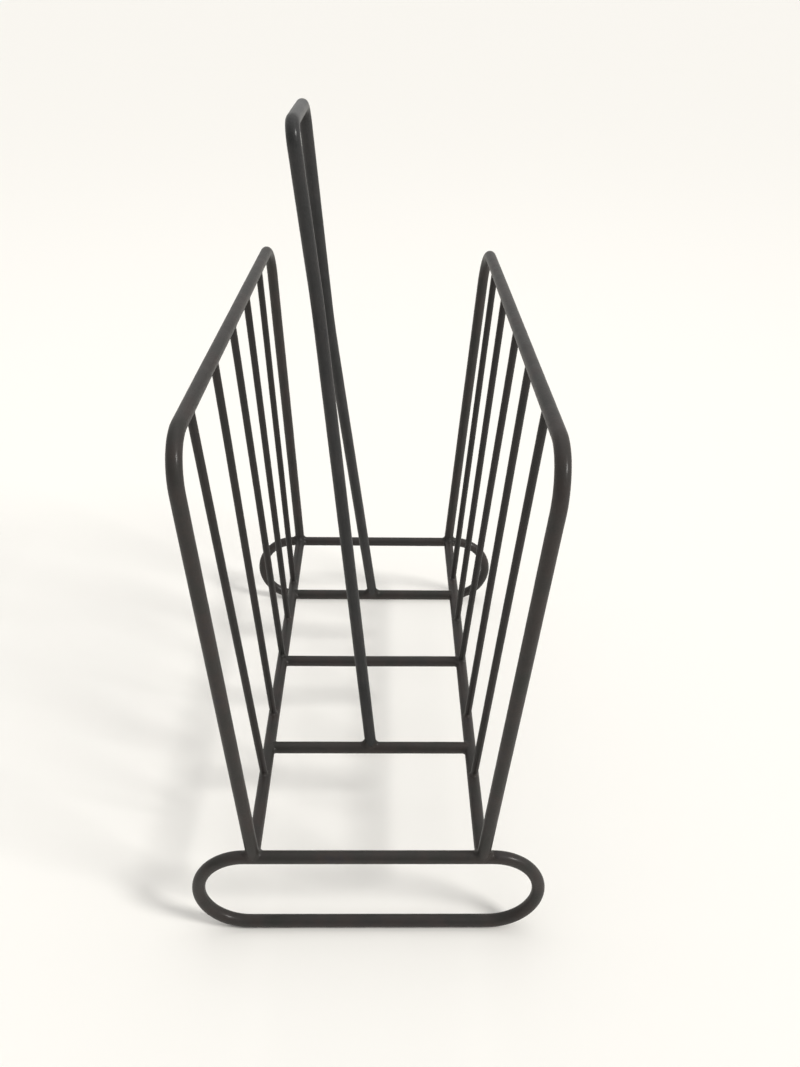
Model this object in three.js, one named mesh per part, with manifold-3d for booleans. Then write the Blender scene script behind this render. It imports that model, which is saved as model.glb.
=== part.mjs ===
// Newspaper rack of bent and welded steel rod, in millimetres, +Z up.
// It stands on two upright foot loops, and two bottom rails run between them.
// A rodded frame leans out on each side, and a tall handle stands in the middle,
// so papers hang down in a pocket on either side of the handle.
// The origin is on the floor, midway between the two feet. +Y runs from the front foot to the rear foot.
import * as THREE from 'three';
import { mergeVertices } from 'three/addons/utils/BufferGeometryUtils.js';
import Module from 'manifold-3d';

const wasm = await Module();
wasm.setup();

// Rods.
const ROD = 8; // diameter of the feet, rails, crossbars and side frames
const SIDE_ROD = 4.8; // diameter of the thin rods that fill the sides
const WELD_GAP = 0.3; // clearance between two rods where the weld joins them

// Base. Along X and Z the feet are measured over their outside.
const FOOT_WIDTH = 218;
const FOOT_HEIGHT = 68;
const FOOT_SPACING = 360; // along Y, between the two feet
const FRONT_FOOT_STRAY = 0.8; // how far the front foot is off centre, to the right
const RAIL_SPACING = 138; // along X, between the rails' axes
const CROSSBARS = { front: -88, middle: 5, rear: 94 }; // place along Y

// Side frames. Each was bent and set by hand before it was welded, so no two corners are quite alike.
const FRAME_HEIGHT = 271; // from the rails' axis to the top bar's axis
const SIDE_FRAMES = [
  // splay and overhang: how far a top corner stands out past its foot, along X and along Y;
  // bend: its radius at the rod's axis; step: how far the leg's foot is outside the rail's axis;
  // rodFeet and rodTops: how far each side rod's ends are along Y from their even places, from
  // front to rear.
  {
    name: 'left',
    side: -1,
    front: { splay: 20.6, overhang: -4, bend: 25, step: -0.3 },
    rear: { splay: 13, overhang: 2, bend: 22, step: 0 },
    rodFeet: [-1, 0, 8.5, -1.5, -6],
    rodTops: [-5.5, 0, 0.5, -3, -3],
  },
  {
    name: 'right',
    side: 1,
    front: { splay: 22.2, overhang: 7, bend: 27, step: 0.7 },
    rear: { splay: 19.6, overhang: 2, bend: 28, step: 0 },
    rodFeet: [-1.5, -1.5, 3, -2, -0.5],
    rodTops: [-0.5, 0, -5, -0.5, -1],
  },
];
// The side rods fan out, so they stand a little closer together along the rail than along the top bar.
const SIDE_ROD_PITCH = { rail: 57, top: 61.5 };

// Handle. Its legs converge up to their knees and run side by side above them, and the whole of it
// leans to the left. It was bent and welded by hand, so its two legs aren't quite alike.
const HANDLE_ROD = 7.7; // diameter
const RACK_HEIGHT = 457; // floor to the top of the handle
const HANDLE_TOP = 83; // between the top corners, along Y
const HANDLE_LEAN = -40; // where the top stands along X
const HANDLE_BEND = 11; // radius of the top corners at the rod's axis
const KNEE_BEND = 140; // radius of the knees
const HANDLE_LEGS = {
  // foot: where the leg stands along X; knee: the knee's height above the rails' axes;
  // stray: how far the knee is along X from the line between the leg's two ends.
  front: { side: -1, foot: 0.9, knee: 296, stray: 0.7 },
  rear: { side: 1, foot: -0.4, knee: 256, stray: -2 },
};

// Faceting.
const ROD_SIDES = 16;
const SIDE_ROD_SIDES = 12;
const BEND_STEP = Math.PI / 16; // turn of one step around a bend
const FEWEST_BEND_STEPS = 4;
const MERGE_DISTANCE = 1e-3;

const RAIL_Z = FOOT_HEIGHT - ROD / 2; // height of the rails' axes above the floor
const RAIL_X = RAIL_SPACING / 2;
const FOOT_Y = FOOT_SPACING / 2;

const enamel = { color: 0x3b3837, roughness: 0.45, metalness: 0.2 };

// Points are given from the plane of the rails' axes, which the rack group lifts to its height.
const at = (x, y, z = 0) => new THREE.Vector3(x, y, z);

// A rounded corner of a rod: the arc that leads from one straight stretch into the next.
class Bend extends THREE.Curve {
  constructor(before, corner, after, radius) {
    super();
    const out = after.clone().sub(corner).normalize();
    this.radius = radius;
    this.into = corner.clone().sub(before).normalize();
    this.turn = this.into.angleTo(out);
    this.inward = out.clone().addScaledVector(this.into, -out.dot(this.into)).normalize();
    const reach = radius * Math.tan(this.turn / 2);
    this.start = corner.clone().addScaledVector(this.into, -reach);
    this.end = corner.clone().addScaledVector(out, reach);
    this.steps = Math.max(FEWEST_BEND_STEPS, Math.round(this.turn / BEND_STEP));
  }

  getPoint(t, target = new THREE.Vector3()) {
    const angle = t * this.turn;
    return target.copy(this.start)
      .addScaledVector(this.into, this.radius * Math.sin(angle))
      .addScaledVector(this.inward, this.radius * (1 - Math.cos(angle)));
  }

  getTangent(t, target = new THREE.Vector3()) {
    const angle = t * this.turn;
    return target.copy(this.into).multiplyScalar(Math.cos(angle))
      .addScaledVector(this.inward, Math.sin(angle));
  }
}

// A rod's centre line: straight stretches joined by bends. A straight stretch is one step, and a
// bend is several, so the line is divided by its steps and not by its length.
class RodLine extends THREE.Curve {
  constructor(corners, bendRadii = [], closed = false) {
    super();
    this.closed = closed;
    this.pieces = [];
    const count = corners.length;
    const bends = bendRadii.map((radius, index) => {
      const place = closed ? index : index + 1;
      const before = corners[(place + count - 1) % count];
      return new Bend(before, corners[place], corners[(place + 1) % count], radius);
    });
    let from = closed ? bends.at(-1).end : corners[0];
    for (const bend of bends) {
      this.addStraight(from, bend.start);
      this.pieces.push(bend);
      from = bend.end;
    }
    if (!closed) this.addStraight(from, corners.at(-1));
    this.steps = this.pieces.reduce((sum, piece) => sum + piece.steps, 0);
  }

  addStraight(from, to) {
    if (from.distanceTo(to) < MERGE_DISTANCE) return;
    const line = new THREE.LineCurve3(from, to);
    line.steps = 1;
    this.pieces.push(line);
  }

  // The piece that a fraction of all the steps falls on, and the fraction along that piece.
  locate(fraction) {
    let step = Math.round(fraction * this.steps);
    for (const piece of this.pieces) {
      if (step <= piece.steps) return [piece, step / piece.steps];
      step -= piece.steps;
    }
    return [this.pieces.at(-1), 1];
  }

  getPointAt(fraction, target) {
    const [piece, t] = this.locate(fraction);
    return piece.getPoint(t, target);
  }

  getTangentAt(fraction, target) {
    const [piece, t] = this.locate(fraction);
    return piece.getTangent(t, target);
  }
}

// The section of a rod: a regular polygon around its circle, with a flat facing each axis.
function rodSection(diameter, sides) {
  const radius = diameter / 2 / Math.cos(Math.PI / sides);
  const points = Array.from({ length: sides }, (_, index) => {
    const angle = (index + 0.5) * 2 * Math.PI / sides;
    return new THREE.Vector2(radius * Math.cos(angle), radius * Math.sin(angle));
  });
  return new THREE.Shape(points);
}

function sweep({ line, diameter, sides = ROD_SIDES }) {
  const section = rodSection(diameter, sides);
  const geometry = new THREE.ExtrudeGeometry(section, { steps: line.steps, extrudePath: line });
  if (!line.closed) return geometry;
  // A closed rod has no ends, so only the skin between them is kept.
  const skin = geometry.groups.find((group) => group.materialIndex === 1);
  const positions = geometry.attributes.position.array;
  const kept = positions.slice(skin.start * 3, (skin.start + skin.count) * 3);
  return new THREE.BufferGeometry().setAttribute('position', new THREE.BufferAttribute(kept, 3));
}

function toSolid(geometry) {
  geometry.deleteAttribute('normal');
  geometry.deleteAttribute('uv');
  const merged = mergeVertices(geometry, MERGE_DISTANCE);
  return new wasm.Manifold(new wasm.Mesh({
    numProp: 3,
    vertProperties: merged.attributes.position.array,
    triVerts: Uint32Array.from(merged.index.array),
  }));
}

function toGeometry(solid) {
  const { vertProperties, triVerts } = solid.getMesh();
  const geometry = new THREE.BufferGeometry();
  geometry.setAttribute('position', new THREE.BufferAttribute(vertProperties, 3));
  geometry.setIndex(new THREE.BufferAttribute(triVerts, 1));
  geometry.computeVertexNormals();
  return geometry;
}

// A rod whose ends are cut to saddle the rods that it is welded to.
function copedRod(rod, neighbours) {
  const solid = neighbours.reduce((left, neighbour) => {
    const clearance = { ...neighbour, diameter: neighbour.diameter + 2 * WELD_GAP };
    return left.subtract(toSolid(sweep(clearance)));
  }, toSolid(sweep(rod)));
  return toGeometry(solid);
}

function straightRod(from, to, diameter, sides) {
  return { line: new RodLine([from, to]), diameter, sides };
}

// A foot: a closed loop standing on edge across the rack, flat along its top and bottom.
function footLoop(y, stray = 0) {
  const right = stray + (FOOT_WIDTH - ROD) / 2;
  const left = stray - (FOOT_WIDTH - ROD) / 2;
  const low = ROD - FOOT_HEIGHT;
  const corners = [at(right, y, low), at(right, y, 0), at(left, y, 0), at(left, y, low)];
  const bends = corners.map(() => -low / 2);
  return { line: new RodLine(corners, bends, true), diameter: ROD };
}

function bottomRail(side) {
  return straightRod(at(side * RAIL_X, -FOOT_Y), at(side * RAIL_X, FOOT_Y), ROD);
}

function crossbar(y) {
  return straightRod(at(-RAIL_X, y), at(RAIL_X, y), ROD);
}

// A side frame's top corners, front and rear, before they are rounded.
function frameTop({ side, front, rear }) {
  return [
    at(side * (RAIL_X + front.splay), -FOOT_Y - front.overhang, FRAME_HEIGHT),
    at(side * (RAIL_X + rear.splay), FOOT_Y + rear.overhang, FRAME_HEIGHT),
  ];
}

// A side frame: an upside-down U that stands on both feet over the ends of a rail.
function sideFrame(frame) {
  const { side, front, rear } = frame;
  const frontFoot = at(side * (RAIL_X + front.step), -FOOT_Y);
  const rearFoot = at(side * (RAIL_X + rear.step), FOOT_Y);
  const corners = [frontFoot, ...frameTop(frame), rearFoot];
  return { line: new RodLine(corners, [front.bend, rear.bend]), diameter: ROD };
}

// A thin rod from the bottom rail up to the frame's top bar. Its index counts from the front.
function sideRod(frame, index) {
  const fromMiddle = index - (frame.rodFeet.length - 1) / 2;
  const footY = fromMiddle * SIDE_ROD_PITCH.rail + frame.rodFeet[index];
  const topY = fromMiddle * SIDE_ROD_PITCH.top + frame.rodTops[index];
  const foot = at(frame.side * RAIL_X, footY);
  const [front, rear] = frameTop(frame);
  const fraction = (topY - front.y) / (rear.y - front.y);
  return straightRod(foot, front.lerp(rear, fraction), SIDE_ROD, SIDE_ROD_SIDES);
}

// One leg of the handle, from the crossbar that it stands on: its foot, its knee and its top corner.
function handleLeg(end) {
  const { side, foot, knee, stray } = HANDLE_LEGS[end];
  const height = RACK_HEIGHT - HANDLE_ROD / 2 - RAIL_Z;
  const y = side * HANDLE_TOP / 2;
  const kneeX = foot + (HANDLE_LEAN - foot) * knee / height + stray;
  return [at(foot, CROSSBARS[end]), at(kneeX, y, knee), at(HANDLE_LEAN, y, height)];
}

// The handle: a tall upside-down U.
function handleRod() {
  const corners = [...handleLeg('front'), ...handleLeg('rear').reverse()];
  const bends = [KNEE_BEND, HANDLE_BEND, HANDLE_BEND, KNEE_BEND];
  return { line: new RodLine(corners, bends), diameter: HANDLE_ROD };
}

const rack = new THREE.Group();
rack.position.z = RAIL_Z;

function addPart(name, geometry, parent = rack) {
  const mesh = new THREE.Mesh(geometry, new THREE.MeshStandardMaterial(enamel));
  mesh.name = name;
  parent.add(mesh);
}

// Base: feet, rails and crossbars.
const feet = [footLoop(-FOOT_Y, FRONT_FOOT_STRAY), footLoop(FOOT_Y)];
const rails = SIDE_FRAMES.map(({ side }) => bottomRail(side));
const base = new THREE.Group();
rack.add(base);
addPart('front_foot_loop', toGeometry(toSolid(sweep(feet[0]))), base);
addPart('rear_foot_loop', toGeometry(toSolid(sweep(feet[1]))), base);
SIDE_FRAMES.forEach(({ name }, index) => {
  addPart(`${name}_bottom_rail`, copedRod(rails[index], feet), base);
});
for (const [name, y] of Object.entries(CROSSBARS)) {
  addPart(`${name}_crossbar`, copedRod(crossbar(y), rails), base);
}

// Sides: a frame and its thin rods over each rail.
SIDE_FRAMES.forEach((frame, index) => {
  const side = new THREE.Group();
  rack.add(side);
  const frameRod = sideFrame(frame);
  addPart(`${frame.name}_side_frame`, copedRod(frameRod, [...feet, rails[index]]), side);
  for (const rodIndex of frame.rodFeet.keys()) {
    const rod = copedRod(sideRod(frame, rodIndex), [rails[index], frameRod]);
    addPart(`${frame.name}_side_rod_${rodIndex + 1}`, rod, side);
  }
});

// Handle, standing on the front and rear crossbars.
const handleSeats = [crossbar(CROSSBARS.front), crossbar(CROSSBARS.rear)];
addPart('handle', copedRod(handleRod(), handleSeats));

export default rack;
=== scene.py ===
"""Newspaper rack of black-enamelled steel rod: its finished look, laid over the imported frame.

Every CAD rod is stood for by a fine, slightly uneven rod on the same centre line, and every joint
gets a weld fillet. Lengths are in metres, and the rack stands on z = 0 with its front foot at -Y.
"""
import math

import bpy
import numpy as np
from mathutils import Matrix, Vector, noise


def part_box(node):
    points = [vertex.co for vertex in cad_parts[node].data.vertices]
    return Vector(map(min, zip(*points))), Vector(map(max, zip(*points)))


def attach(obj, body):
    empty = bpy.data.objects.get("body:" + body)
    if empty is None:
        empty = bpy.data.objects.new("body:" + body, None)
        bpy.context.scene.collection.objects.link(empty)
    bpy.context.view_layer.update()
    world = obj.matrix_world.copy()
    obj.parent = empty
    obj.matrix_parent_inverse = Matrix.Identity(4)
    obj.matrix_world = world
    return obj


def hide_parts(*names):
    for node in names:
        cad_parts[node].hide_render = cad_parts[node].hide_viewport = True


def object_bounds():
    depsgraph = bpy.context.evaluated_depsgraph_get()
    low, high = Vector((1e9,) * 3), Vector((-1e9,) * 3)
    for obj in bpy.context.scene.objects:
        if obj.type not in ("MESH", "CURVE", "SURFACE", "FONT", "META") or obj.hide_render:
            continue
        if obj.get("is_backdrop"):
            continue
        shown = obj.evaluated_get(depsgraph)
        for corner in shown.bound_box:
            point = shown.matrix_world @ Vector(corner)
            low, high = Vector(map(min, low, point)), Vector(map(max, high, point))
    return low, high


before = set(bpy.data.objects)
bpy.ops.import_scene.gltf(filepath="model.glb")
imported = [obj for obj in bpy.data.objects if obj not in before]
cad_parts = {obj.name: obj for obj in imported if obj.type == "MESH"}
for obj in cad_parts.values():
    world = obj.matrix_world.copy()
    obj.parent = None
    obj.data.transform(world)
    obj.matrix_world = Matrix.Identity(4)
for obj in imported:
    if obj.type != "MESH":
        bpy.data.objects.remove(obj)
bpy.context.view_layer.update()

MM = 0.001
BODY = "root"

# What the nodes' boxes can't tell about the bent and leaning rods.
THIN = 2.4 * MM  # radius of a side rod
SIDES = {
    # x: which way it leans; bends: radii of its front and rear top corners; splay and overhang:
    # how far those corners stand out past the feet, along X and along Y; step: how far its front
    # foot is outside the rail's axis; rod_feet and rod_tops: how far each side rod's ends are
    # along Y from their even places, from front to rear.
    "left": {
        "x": -1,
        "bends": (25 * MM, 22 * MM),
        "splay": (20.6 * MM, 13 * MM),
        "overhang": (-4 * MM, 2 * MM),
        "step": -0.3 * MM,
        "rod_feet": (-1 * MM, 0, 8.5 * MM, -1.5 * MM, -6 * MM),
        "rod_tops": (-5.5 * MM, 0, 0.5 * MM, -3 * MM, -3 * MM),
    },
    "right": {
        "x": 1,
        "bends": (27 * MM, 28 * MM),
        "splay": (22.2 * MM, 19.6 * MM),
        "overhang": (7 * MM, 2 * MM),
        "step": 0.7 * MM,
        "rod_feet": (-1.5 * MM, -1.5 * MM, 3 * MM, -2 * MM, -0.5 * MM),
        "rod_tops": (-0.5 * MM, 0, -5 * MM, -0.5 * MM, -1 * MM),
    },
}
SIDE_ROD_PITCH = {"rail": 57 * MM, "top": 61.5 * MM}
HANDLE_RADIUS = 3.85 * MM
HANDLE_BEND = 11 * MM  # radius of the handle's top corners
KNEE_BEND = 140 * MM
HANDLE_TOP = 83 * MM  # between the handle's top corners, along Y
HANDLE_LEGS = {
    # foot: place along X; knee: height above the rails; stray: how far the knee is along X
    # from the line between the leg's two ends.
    "front": {"side": -1, "foot": 0.9 * MM, "knee": 296 * MM, "stray": 0.7 * MM},
    "rear": {"side": 1, "foot": -0.4 * MM, "knee": 256 * MM, "stray": -2 * MM},
}
X_AXIS = Vector((1, 0, 0))
Y_AXIS = Vector((0, 1, 0))

# Fineness of the rods' skin.
RING_STEP = 2.5 * MM
SHORTEST_STRAIGHT = RING_STEP / 10
FEWEST_ARC_STEPS = 8
THICK_SIDES = 40
THIN_SIDES = 28
MOSTLY_ALONG_Y = 0.7  # from this on, a rod's first direction counts as lying along Y

# Unevenness of the rods. Each rod takes its own place in the noise, a seed step from the next.
WAVE_HEIGHT = 0.035 * MM  # unevenness of the hand-brushed enamel
WAVE_LENGTH = 9 * MM
WAVE_SEED_STEP = 3.7
WANDER = 0.12 * MM  # the most that a rod strays from its line, along each axis
WANDER_LENGTH = 90 * MM
WANDER_SEED_STEP = 7.3
WANDER_PLANE = 3.1  # where the wander along X is read from the noise
WANDER_AXIS_STEP = 5.1  # how much further on it is read for each next axis

# Weld fillets: how far they reach along each skin, and their form.
THICK_FILLET = 2.4 * MM
THIN_FILLET = 1.5 * MM
HANDLE_FILLET = 3.4 * MM
CROSSBAR_FILLET = THICK_FILLET * 0.8
WELD_FULLNESS = 0.35  # 0 is a hollow fillet, and 1 is a flat one
WELD_RING = 64  # points around a weld
WELD_PROFILE = 9  # points across its visible face
WELD_CROWN = 0.22 * MM  # how far its middle point is pulled out where the skins run into each other
WELD_NARROWEST = 0.5  # share of its width that a weld keeps where the skins run into each other
WELD_LUMPS = 1.6  # how closely the lumps around a weld are set: more is closer
WELD_LUMP_HEIGHT = 0.3  # as a share of the weld's width
WELD_SEED_STEP = 5.3
TOP_WELD_SEEDS = 20  # seed of the first weld at the top of a side's rods
HANDLE_WELD_SEEDS = 30
CROSSBAR_SEED_SCALE = 100  # crossbar welds take their seeds from their places along Y
SINK = 0.05 * MM  # how far a weld's edge dips under the rods' skin
HIDDEN_INSET = 1.2 * MM  # how far under the branch's skin a weld's back runs
HIDDEN_DROP = 0.4 * MM  # how far it runs below the place where the skins meet
ONE_SIDED_MARGIN = 0.1  # a one-sided weld ends where its angle's cosine is minus this
ONE_SIDED_FADE = 0.6  # and it is full where the cosine is this much more
ONE_SIDED_LEAST = 0.02  # share of it that stays, hidden in the rods, past its end
END_TAPER = 0.15 * MM  # how much thinner a rod's hidden end is
END_LENGTH = 6 * MM


# ---------------------------------------------------------------- places, from the CAD nodes

def centre(node):
    low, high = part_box(node)
    return (low + high) / 2


def size(node):
    low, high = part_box(node)
    return high - low


THICK = size("middle_crossbar").z / 2
RAIL_Z = centre("middle_crossbar").z
RAIL_X = centre("right_bottom_rail").x
FOOT_Y = centre("rear_foot_loop").y


def rail_point(x, y):
    return Vector((x, y, RAIL_Z))


def frame_corners(name):
    """A side frame's front foot, front and rear top corners before rounding, and rear foot."""
    side = SIDES[name]
    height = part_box(f"{name}_side_frame")[1].z - THICK
    front, rear = side["overhang"]
    front_splay, rear_splay = side["splay"]
    return [
        rail_point(side["x"] * (RAIL_X + side["step"]), -FOOT_Y),
        Vector((side["x"] * (RAIL_X + front_splay), -FOOT_Y - front, height)),
        Vector((side["x"] * (RAIL_X + rear_splay), FOOT_Y + rear, height)),
        rail_point(side["x"] * RAIL_X, FOOT_Y),
    ]


def side_rod_ends(name, index, front_top, rear_top):
    side = SIDES[name]
    from_middle = index - (len(side["rod_feet"]) - 1) / 2
    y = from_middle * SIDE_ROD_PITCH["rail"] + side["rod_feet"][index]
    top_y = from_middle * SIDE_ROD_PITCH["top"] + side["rod_tops"][index]
    fraction = (top_y - front_top.y) / (rear_top.y - front_top.y)
    return rail_point(side["x"] * RAIL_X, y), front_top.lerp(rear_top, fraction)


# ---------------------------------------------------------------- centre lines

def bend(before, corner, after, radius):
    """The arc that rounds a corner: its start, end, first direction, inward direction and turn."""
    into = (corner - before).normalized()
    out = (after - corner).normalized()
    turn = into.angle(out)
    inward = (out - into * out.dot(into)).normalized()
    reach = radius * math.tan(turn / 2)
    return corner - into * reach, corner + out * reach, into, inward, turn


def rod_line(corners, bends=(), closed=False):
    """Points and directions along a rod that runs from corner to corner and rounds each one."""
    count = len(corners)
    arcs = []
    for index, radius in enumerate(bends):
        place = index if closed else index + 1
        before, after = corners[place - 1], corners[(place + 1) % count]
        arcs.append((radius, *bend(before, corners[place], after, radius)))
    points, directions = [], []

    def add_straight(start, end):
        length = (end - start).length
        if length < SHORTEST_STRAIGHT:
            return
        steps = max(1, round(length / RING_STEP))
        for step in range(steps):
            points.append(start.lerp(end, step / steps))
            directions.append((end - start).normalized())

    def add_arc(radius, start, into, inward, turn):
        steps = max(FEWEST_ARC_STEPS, round(radius * turn / RING_STEP))
        for step in range(steps):
            angle = turn * step / steps
            points.append(start + radius * (into * math.sin(angle) + inward * (1 - math.cos(angle))))
            directions.append(into * math.cos(angle) + inward * math.sin(angle))

    here = arcs[-1][2] if closed else corners[0]
    for radius, start, end, into, inward, turn in arcs:
        add_straight(here, start)
        add_arc(radius, start, into, inward, turn)
        here = end
    if not closed:
        add_straight(here, corners[-1])
        points.append(corners[-1])
        directions.append(directions[-1])
    return points, directions


# ---------------------------------------------------------------- meshes

def make_object(name, verts, faces, material, rod_space=None):
    mesh = bpy.data.meshes.new(name)
    mesh.from_pydata([tuple(v) for v in verts], [], faces)
    mesh.validate()
    mesh.shade_smooth()
    space = mesh.attributes.new("rod_space", "FLOAT_VECTOR", "POINT")
    values = np.array(verts if rod_space is None else rod_space, np.float32)
    space.data.foreach_set("vector", values.ravel())
    mesh.materials.append(material)
    piece = bpy.data.objects.new(name, mesh)
    bpy.context.scene.collection.objects.link(piece)
    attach(piece, BODY)
    return piece


def wander(seed, travelled):
    """How far a rod strays from its line. Each axis takes the noise at a place of its own."""
    x, z = seed * WANDER_SEED_STEP, travelled / WANDER_LENGTH
    places = [Vector((x, WANDER_PLANE + axis * WANDER_AXIS_STEP, z)) for axis in range(3)]
    return Vector([noise.noise(place) for place in places]) * WANDER


def tube(name, line, radius, sides, material, closed=False, seed=0):
    """A rod with a slightly uneven skin, closed on itself or capped at both ends."""
    points, directions = line
    length = sum((after - before).length for before, after in zip(points, points[1:]))
    verts, space = [], []
    normal = Y_AXIS if abs(directions[0].y) < MOSTLY_ALONG_Y else X_AXIS
    travelled = 0.0
    for index, (point, direction) in enumerate(zip(points, directions)):
        if index:
            travelled += (point - points[index - 1]).length
        normal = (normal - direction * normal.dot(direction)).normalized()
        side = direction.cross(normal)
        drift = wander(seed, travelled)
        to_end = min(travelled, length - travelled) / END_LENGTH
        taper = END_TAPER * max(0, 1 - to_end)
        if closed:
            drift *= 0
            taper = 0
        for corner in range(sides):
            angle = corner * math.tau / sides
            around = normal * math.cos(angle) + side * math.sin(angle)
            where = Vector((math.cos(angle) * radius, math.sin(angle) * radius, travelled))
            wave = noise.noise(where / WAVE_LENGTH + Vector((seed * WAVE_SEED_STEP, 0, 0)))
            verts.append(point + drift + around * (radius - taper + wave * WAVE_HEIGHT))
            space.append(where + Vector((0, 0, seed)))
    rings = len(points)
    faces = []
    for ring in range(rings if closed else rings - 1):
        first, second = ring * sides, (ring + 1) % rings * sides
        for corner in range(sides):
            after = (corner + 1) % sides
            faces.append((first + corner, first + after, second + after, second + corner))
    if not closed:
        faces.append(tuple(reversed(range(sides))))
        faces.append(tuple(range((rings - 1) * sides, rings * sides)))
    return make_object(name, verts, faces, material, space)


def weld(joint, branch, main, branch_radius, main_radius, fillet, toward=None, seed=0):
    """A weld fillet around the end of a branch rod on a main rod, as vertices and faces.

    joint is where the two centre lines meet. branch and main are their directions. With toward,
    the fillet is only on that side of the branch and sinks into the rods elsewhere.
    """
    up, along = branch.normalized(), main.normalized()
    first = (along - up * along.dot(up)).normalized()
    second = up.cross(first)
    up_flat = up - along * up.dot(along)
    verts = []
    for turn in range(WELD_RING):
        angle = turn * math.tau / WELD_RING
        out = first * math.cos(angle) + second * math.sin(angle)
        out_flat = out - along * out.dot(along)
        # Height up the branch at which its skin meets the main rod's skin.
        a = up_flat.length_squared
        b = 2 * branch_radius * out_flat.dot(up_flat)
        c = branch_radius ** 2 * out_flat.length_squared - main_radius ** 2
        height = (-b + math.sqrt(max(b * b - 4 * a * c, 0))) / (2 * a)
        meet = out * branch_radius + up * height
        meet_flat = meet - along * meet.dot(along)
        skin = meet_flat.normalized()
        away = out - up
        away = (away - skin * away.dot(skin)).normalized()
        lump_at = Vector((math.cos(angle), math.sin(angle), seed * WELD_SEED_STEP))
        lump = noise.noise(lump_at * WELD_LUMPS)
        openness = math.sqrt(max(0, 1 - out.dot(skin) ** 2))
        width = WELD_NARROWEST + (1 - WELD_NARROWEST) * openness
        reach = fillet * width * (1 + WELD_LUMP_HEIGHT * lump)
        high = meet + up * reach
        low = meet + away * reach
        low_flat = low - along * low.dot(along)
        low += low_flat.normalized() * (main_radius - low_flat.length)
        middle = meet.lerp((high + low) / 2, WELD_FULLNESS * (1 + lump))
        middle += (out + skin).normalized() * WELD_CROWN * (1 - openness)
        taper = END_TAPER * max(0, 1 - high.dot(up) / END_LENGTH)
        high -= out * (SINK + taper)
        low -= skin * SINK
        hidden = out * (branch_radius - HIDDEN_INSET) + up * (height - HIDDEN_DROP)
        keep = 1.0
        if toward is not None:
            keep = (out.dot(toward) + ONE_SIDED_MARGIN) / ONE_SIDED_FADE
            keep = min(1, max(ONE_SIDED_LEAST, keep))
        profile = []
        for step in range(WELD_PROFILE):
            t = step / (WELD_PROFILE - 1)
            profile.append(high * (1 - t) ** 2 + middle * (2 * t * (1 - t)) + low * t ** 2)
        profile.append(hidden)
        for point in profile:
            verts.append(joint + hidden + (point - hidden) * keep)
    row = WELD_PROFILE + 1
    faces = []
    for turn in range(WELD_RING):
        here, there = turn * row, (turn + 1) % WELD_RING * row
        for step in range(row):
            after = (step + 1) % row
            faces.append((here + step, here + after, there + after, there + step))
    return verts, faces


def weld_object(name, welds, material):
    verts, faces = [], []
    for new_verts, new_faces in welds:
        base = len(verts)
        verts += new_verts
        faces += [tuple(base + index for index in face) for face in new_faces]
    return make_object(name, verts, faces, material)


# ---------------------------------------------------------------- materials

RUBBED_TINT = (0.11, 0.10, 0.09, 1)
SPECK_EDGE, SPECK_CORE = 0.76, 0.84  # noise where a rubbed speck begins and is full, with no wear
WEAR_SPREAD = 0.12  # how far full wear lowers both
STROKE_STRETCH = (1, 1, 0.22)  # brush strokes run along the rod
STROKE_SHARE = 0.5  # how high they are next to the orange peel


def node_tools(owner):
    tree = owner.node_tree

    def add(kind, **settings):
        node = tree.nodes.new(kind)
        for key, value in settings.items():
            setattr(node, key, value)
        return node

    return tree, add


def noise_node(tree, add, vector, scale, detail, roughness=0.55):
    node = add("ShaderNodeTexNoise")
    node.inputs["Scale"].default_value = scale
    node.inputs["Detail"].default_value = detail
    node.inputs["Roughness"].default_value = roughness
    tree.links.new(vector, node.inputs["Vector"])
    return node.outputs["Fac"]


def ramp_node(tree, add, factor, stops):
    node = add("ShaderNodeValToRGB")
    elements = node.color_ramp.elements
    while len(elements) < len(stops):
        elements.new(0.5)
    for element, (position, color) in zip(elements, stops):
        element.position = position
        element.color = (*color, 1)
    tree.links.new(factor, node.inputs["Fac"])
    return node.outputs["Color"]


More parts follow.
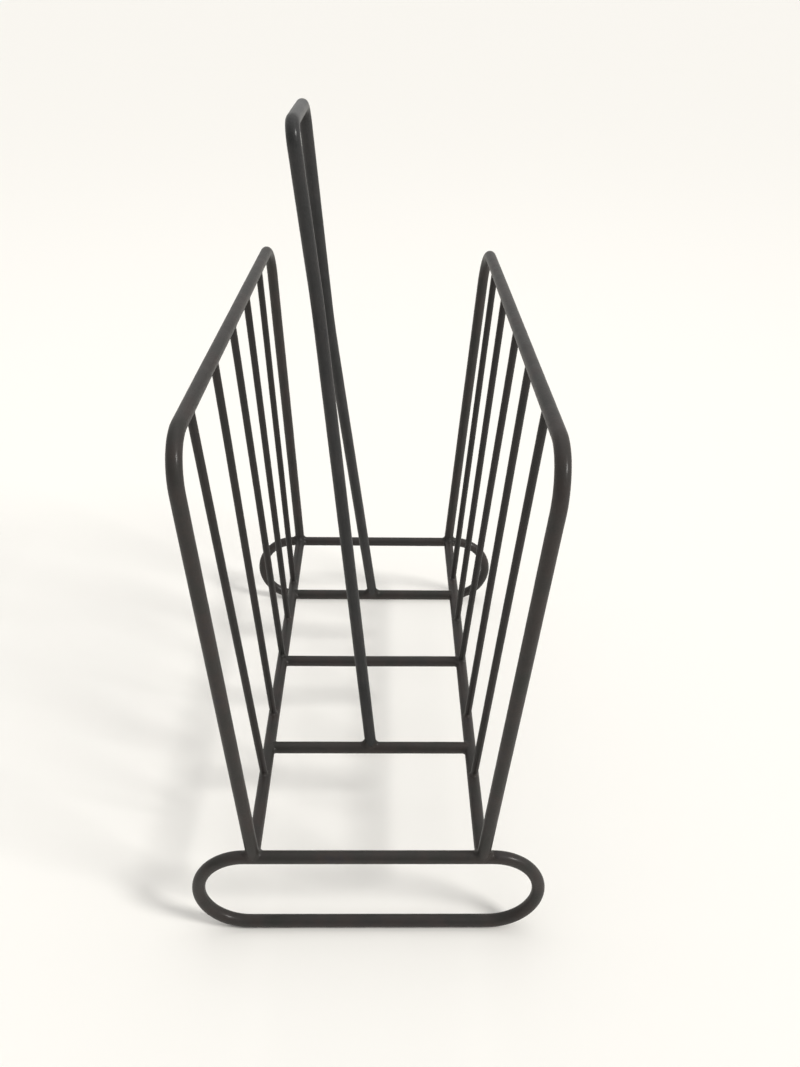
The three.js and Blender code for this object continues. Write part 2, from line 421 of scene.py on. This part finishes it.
def enamel(name, tints, peel_height, wear, gloss):
    """Old satin black enamel: mottled black, brushed on unevenly, rubbed and specked with wear."""
    material = bpy.data.materials.new(name)
    material.use_nodes = True
    tree, add = node_tools(material)
    shader = tree.nodes["Principled BSDF"]
    shader.inputs["IOR"].default_value = 1.5
    shader.inputs["Specular IOR Level"].default_value = 0.3
    shader.inputs["Coat Weight"].default_value = gloss
    shader.inputs["Coat Roughness"].default_value = 0.2
    place = add("ShaderNodeTexCoord").outputs["Object"]
    rod_space = add("ShaderNodeAttribute", attribute_name="rod_space").outputs["Vector"]

    mottle = noise_node(tree, add, place, scale=55, detail=4)
    base = ramp_node(tree, add, mottle, tints)
    rub = noise_node(tree, add, place, scale=240, detail=5, roughness=0.7)
    worn = add("ShaderNodeMapRange", clamp=True)
    worn.inputs["From Min"].default_value = SPECK_EDGE - WEAR_SPREAD * wear
    worn.inputs["From Max"].default_value = SPECK_CORE - WEAR_SPREAD * wear
    tree.links.new(rub, worn.inputs["Value"])
    mix = add("ShaderNodeMix", data_type="RGBA")
    mix.inputs["B"].default_value = RUBBED_TINT
    tree.links.new(worn.outputs["Result"], mix.inputs["Factor"])
    tree.links.new(base, mix.inputs["A"])
    tree.links.new(mix.outputs["Result"], shader.inputs["Base Color"])

    sheen = add("ShaderNodeMapRange")
    sheen.inputs["To Min"].default_value = 0.52
    sheen.inputs["To Max"].default_value = 0.72
    tree.links.new(noise_node(tree, add, place, scale=130, detail=3), sheen.inputs["Value"])
    tree.links.new(sheen.outputs["Result"], shader.inputs["Roughness"])

    stretch = add("ShaderNodeMapping")
    stretch.inputs["Scale"].default_value = STROKE_STRETCH
    tree.links.new(rod_space, stretch.inputs["Vector"])
    strokes = noise_node(tree, add, stretch.outputs["Vector"], scale=900, detail=2)
    peel = noise_node(tree, add, rod_space, scale=850, detail=3)
    height = add("ShaderNodeMath", operation="MULTIPLY_ADD")
    height.inputs[1].default_value = STROKE_SHARE
    tree.links.new(strokes, height.inputs[0])
    tree.links.new(peel, height.inputs[2])
    bump = add("ShaderNodeBump")
    bump.inputs["Distance"].default_value = peel_height
    bump.inputs["Strength"].default_value = 1.0
    tree.links.new(height.outputs["Value"], bump.inputs["Height"])
    tree.links.new(bump.outputs["Normal"], shader.inputs["Normal"])
    return material


# ---------------------------------------------------------------- the rack

ROD_TINTS = [
    (0.30, (0.0190, 0.0191, 0.0159)),
    (0.47, (0.0237, 0.0209, 0.0188)),
    (0.60, (0.0293, 0.0226, 0.0199)),
    (0.75, (0.0229, 0.0205, 0.0227)),
]
HANDLE_TINTS = [
    (0.32, (0.0129, 0.0134, 0.0132)),
    (0.48, (0.0168, 0.0168, 0.0174)),
    (0.62, (0.0218, 0.0202, 0.0202)),
    (0.75, (0.0162, 0.0166, 0.0190)),
]
SIDE_ROD_PAINTED_SHADE = 0.6  # painted shade: brightness of the side rods' paint next to the thick rods', darkened to stand in for the shade on the thin upright rods
SIDE_ROD_SHADED_TINTS = [
    (place, tuple(SIDE_ROD_PAINTED_SHADE * part for part in tint))
    for place, tint in ROD_TINTS
]
ROD_PEEL = 0.22 * MM
HANDLE_PEEL = 0.40 * MM
WELD_PEEL = 0.30 * MM
rod_enamel = enamel("rod_enamel", ROD_TINTS, ROD_PEEL, wear=0.3, gloss=0.2)
# the side rods get a darker copy of the rod enamel: painted shade, not a paint of their own
side_rod_shaded_enamel = enamel("side_rod_shaded_enamel", SIDE_ROD_SHADED_TINTS, ROD_PEEL, wear=0.3, gloss=0.2)
handle_enamel = enamel("handle_enamel", HANDLE_TINTS, HANDLE_PEEL, wear=0.6, gloss=0.3)
weld_enamel = enamel("weld_enamel", ROD_TINTS, WELD_PEEL, wear=0.7, gloss=0.2)


def lay_rod(node, corners, bends=(), radius=THICK, sides=THICK_SIDES, material=rod_enamel,
            closed=False):
    seed = sorted(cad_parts).index(node)
    line = rod_line(corners, bends, closed)
    piece = tube(f"{node}_rod", line, radius, sides, material, closed, seed)
    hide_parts(node)


# Feet: closed loops, drawn round from the right-hand joint so that its weld covers the seam.
for end in ("front", "rear"):
    low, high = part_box(f"{end}_foot_loop")
    y = (low.y + high.y) / 2
    left, right = low.x + THICK, high.x - THICK
    bottom, top = low.z + THICK, high.z - THICK
    loop = [Vector((x, y, z)) for x, z in ((left, top), (left, bottom), (right, bottom), (right, top))]
    lay_rod(f"{end}_foot_loop", loop, [(top - bottom) / 2] * 4, closed=True)

# Base: rails from foot to foot, crossbars from rail to rail.
for name, side in SIDES.items():
    x = side["x"] * RAIL_X
    lay_rod(f"{name}_bottom_rail", [rail_point(x, -FOOT_Y), rail_point(x, FOOT_Y)])
for place in ("front", "middle", "rear"):
    y = centre(f"{place}_crossbar").y
    lay_rod(f"{place}_crossbar", [rail_point(-RAIL_X, y), rail_point(RAIL_X, y)])

# Sides.
foot_welds, side_welds, crossbar_welds = [], {"left": [], "right": []}, []
for name, side in SIDES.items():
    front_foot, front_top, rear_top, rear_foot = corners = frame_corners(name)
    lay_rod(f"{name}_side_frame", corners, side["bends"])
    for foot, top, inward in ((front_foot, front_top, Y_AXIS), (rear_foot, rear_top, -Y_AXIS)):
        leg = (top - foot).normalized()
        rail_end = rail_point(side["x"] * RAIL_X, foot.y)
        seed = len(foot_welds)
        foot_welds.append(weld(foot, leg, X_AXIS, THICK, THICK, THICK_FILLET, seed=seed))
        foot_welds.append(
            weld(rail_end, inward, X_AXIS, THICK, THICK, THICK_FILLET, seed=seed + 1)
        )
        foot_welds.append(
            weld(foot, leg, inward, THICK, THICK, THICK_FILLET, toward=inward, seed=seed + 2)
        )
    bar = (rear_top - front_top).normalized()
    for index in range(len(side["rod_feet"])):
        foot, top = side_rod_ends(name, index, front_top, rear_top)
        lay_rod(f"{name}_side_rod_{index + 1}", [foot, top], radius=THIN, sides=THIN_SIDES,
                material=side_rod_shaded_enamel)
        rise = (top - foot).normalized()
        welds = side_welds[name]
        welds.append(weld(foot, rise, Y_AXIS, THIN, THICK, THIN_FILLET, seed=index))
        seed = index + TOP_WELD_SEEDS
        welds.append(weld(top, -rise, bar, THIN, THICK, THIN_FILLET, seed=seed))

for place in ("front", "middle", "rear"):
    y = centre(f"{place}_crossbar").y
    for side in (-1, 1):
        joint = rail_point(side * RAIL_X, y)
        seed = y * CROSSBAR_SEED_SCALE + side
        crossbar_welds.append(
            weld(joint, X_AXIS * -side, Y_AXIS, THICK, THICK, CROSSBAR_FILLET, seed=seed)
        )

# Handle: a tall upside-down U that leans to the left, standing on two crossbars.
low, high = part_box("handle")
handle_lean = low.x + HANDLE_RADIUS
handle_height = high.z - HANDLE_RADIUS


def handle_leg(end):
    """A leg's foot, knee and top corner."""
    leg = HANDLE_LEGS[end]
    y = leg["side"] * HANDLE_TOP / 2
    foot = rail_point(leg["foot"], centre(f"{end}_crossbar").y)
    top = Vector((handle_lean, y, handle_height))
    knee = foot.lerp(top, leg["knee"] / (handle_height - RAIL_Z))
    knee += X_AXIS * leg["stray"]
    knee.y = y
    return [foot, knee, top]


lay_rod("handle", handle_leg("front") + handle_leg("rear")[::-1],
        [KNEE_BEND, HANDLE_BEND, HANDLE_BEND, KNEE_BEND], HANDLE_RADIUS, material=handle_enamel)
handle_welds = []
for number, end in enumerate(HANDLE_LEGS):
    foot, knee, _ = handle_leg(end)
    seed = HANDLE_WELD_SEEDS + number
    handle_welds.append(
        weld(foot, knee - foot, X_AXIS, HANDLE_RADIUS, THICK, HANDLE_FILLET, seed=seed)
    )

weld_object("foot_welds", foot_welds, weld_enamel)
weld_object("crossbar_welds", crossbar_welds, weld_enamel)
weld_object("left_side_rod_welds", side_welds["left"], weld_enamel)
weld_object("right_side_rod_welds", side_welds["right"], weld_enamel)
weld_object("handle_welds", handle_welds, weld_enamel)


# ---------------------------------------------------------------- stage, light and camera

def stage_floor():
    reach = 40.0
    mesh = bpy.data.meshes.new("floor")
    corners = [(-reach, -reach, 0), (reach, -reach, 0), (reach, reach, 0), (-reach, reach, 0)]
    mesh.from_pydata(corners, [], [(0, 1, 2, 3)])
    material = bpy.data.materials.new("floor_pale")
    material.use_nodes = True
    shader = material.node_tree.nodes["Principled BSDF"]
    shader.inputs["Base Color"].default_value = (0.955, 0.940, 0.905, 1)
    shader.inputs["Roughness"].default_value = 0.9
    mesh.materials.append(material)
    floor = bpy.data.objects.new("floor", mesh)
    bpy.context.scene.collection.objects.link(floor)
    floor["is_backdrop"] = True


BRIGHT_SIDE = (0, 0.85, 0.53)  # up and behind the rack
WINDOW_PLACE = Vector((0.80, -0.38, 0.75))
CEILING_PLACE = Vector((0.1, 0.3, 1.9))
CAMERA_PLACE = (8.3 * MM, -555.8 * MM, 522.2 * MM)


def room_light():
    """A pale room, more than twice as bright up and behind the rack as in front of it."""
    world = bpy.data.worlds.new("room")
    world.use_nodes = True
    tree, add = node_tools(world)
    background = tree.nodes["Background"]
    background.inputs["Color"].default_value = (1.0, 0.99, 0.97, 1)
    bright_side = add("ShaderNodeVectorMath", operation="DOT_PRODUCT")
    bright_side.inputs[1].default_value = BRIGHT_SIDE
    strength = add("ShaderNodeMapRange")
    strength.inputs["From Min"].default_value = -0.4
    strength.inputs["From Max"].default_value = 1
    strength.inputs["To Min"].default_value = 0.38
    strength.inputs["To Max"].default_value = 0.87
    direction = add("ShaderNodeTexCoord").outputs["Generated"]
    tree.links.new(direction, bright_side.inputs[0])
    tree.links.new(bright_side.outputs["Value"], strength.inputs["Value"])
    tree.links.new(strength.outputs["Result"], background.inputs["Strength"])
    bpy.context.scene.world = world


def studio_light():
    window = bpy.data.lights.new("window", "SUN")
    window.energy = 1.75
    window.angle = math.radians(14)
    window.color = (1.0, 0.985, 0.955)
    place_light(window, WINDOW_PLACE)
    ceiling = bpy.data.lights.new("ceiling", "AREA")
    ceiling.energy = 4
    ceiling.size = 1.6
    place_light(ceiling, CEILING_PLACE)


def place_light(data, at):
    """Stand a light at a place, shining towards the origin."""
    light = bpy.data.objects.new(data.name, data)
    light.matrix_world = Matrix.Translation(at) @ (-at).to_track_quat("-Z", "Y").to_matrix().to_4x4()
    bpy.context.scene.collection.objects.link(light)


def photo_camera():
    """A phone's camera in front of the rack and above it, rolled a little counterclockwise."""
    data = bpy.data.cameras.new("camera")
    data.sensor_width = 36
    data.lens = 31.3
    camera = bpy.data.objects.new("camera", data)
    down, right, roll = 31.40, 1.21, 0.977  # degrees
    turn = (
        Matrix.Rotation(math.radians(-right), 4, "Z")
        @ Matrix.Rotation(math.radians(90 - down), 4, "X")
        @ Matrix.Rotation(math.radians(roll), 4, "Z")
    )
    camera.matrix_world = Matrix.Translation(CAMERA_PLACE) @ turn
    bpy.context.scene.collection.objects.link(camera)
    bpy.context.scene.camera = camera


stage_floor()
room_light()
studio_light()
photo_camera()
bpy.context.scene.view_settings.view_transform = "Standard"

low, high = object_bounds()
